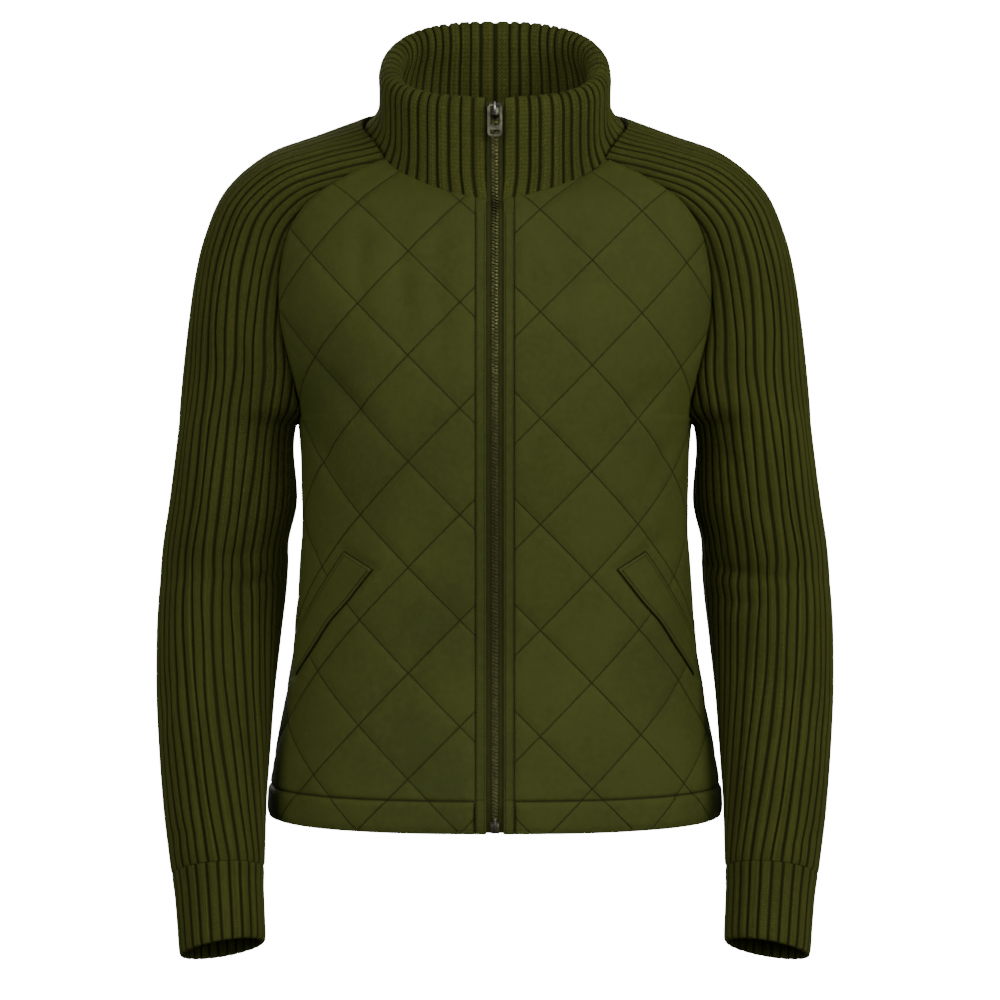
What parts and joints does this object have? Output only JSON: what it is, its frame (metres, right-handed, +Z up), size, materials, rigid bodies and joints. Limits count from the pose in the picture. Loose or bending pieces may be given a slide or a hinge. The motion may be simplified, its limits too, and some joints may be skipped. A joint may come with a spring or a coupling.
{
  "type": "quilted zip jacket",
  "caption": "Zip-front jacket with diamond-quilted body, rib-knit raglan sleeves, funnel collar, cuffs and slanted welt pockets, filled out as worn.",
  "frame": {"origin": "centre of the neck at shoulder height, where the wearer's shoulders hold the jacket up", "axes": "+Z up towards the collar, the front and its zip face -Y, +X towards the wearer's left sleeve"},
  "size_m": [0.5738, 0.2439, 0.7978],
  "materials": {
    "panel_cloth": "satin woven, quilted",
    "rib_knit": "matte rib knit",
    "strip_cloth": "satin woven",
    "zip_tape": "matte woven tape",
    "zip_metal": "antique brushed"
  },
  "bodies": {
    "jacket": {"front_left": "panel_cloth", "front_right": "panel_cloth", "back": "panel_cloth", "sleeve_left": "rib_knit", "sleeve_right": "rib_knit", "cuff_left": "rib_knit", "cuff_right": "rib_knit", "collar": "rib_knit", "zip_strip_left": "strip_cloth", "zip_strip_right": "strip_cloth", "pocket_welt_left": "panel_cloth", "pocket_welt_right": "panel_cloth", "zip_tape_left": "zip_tape", "zip_tape_right": "zip_tape", "zip_chain": "zip_metal", "zip_retainer": "zip_metal", "zip_slider": "zip_metal"},
    "pull_tab": {"zip_pull": "zip_metal"}
  },
  "joints": [
    {"name": "pull_swing", "type": "hinge", "parent": "jacket", "child": "pull_tab", "pos_m": [0, -0.1002, 0.0044], "axis": [-1, 0, 0], "range_deg": [0, 150]}
  ]
}
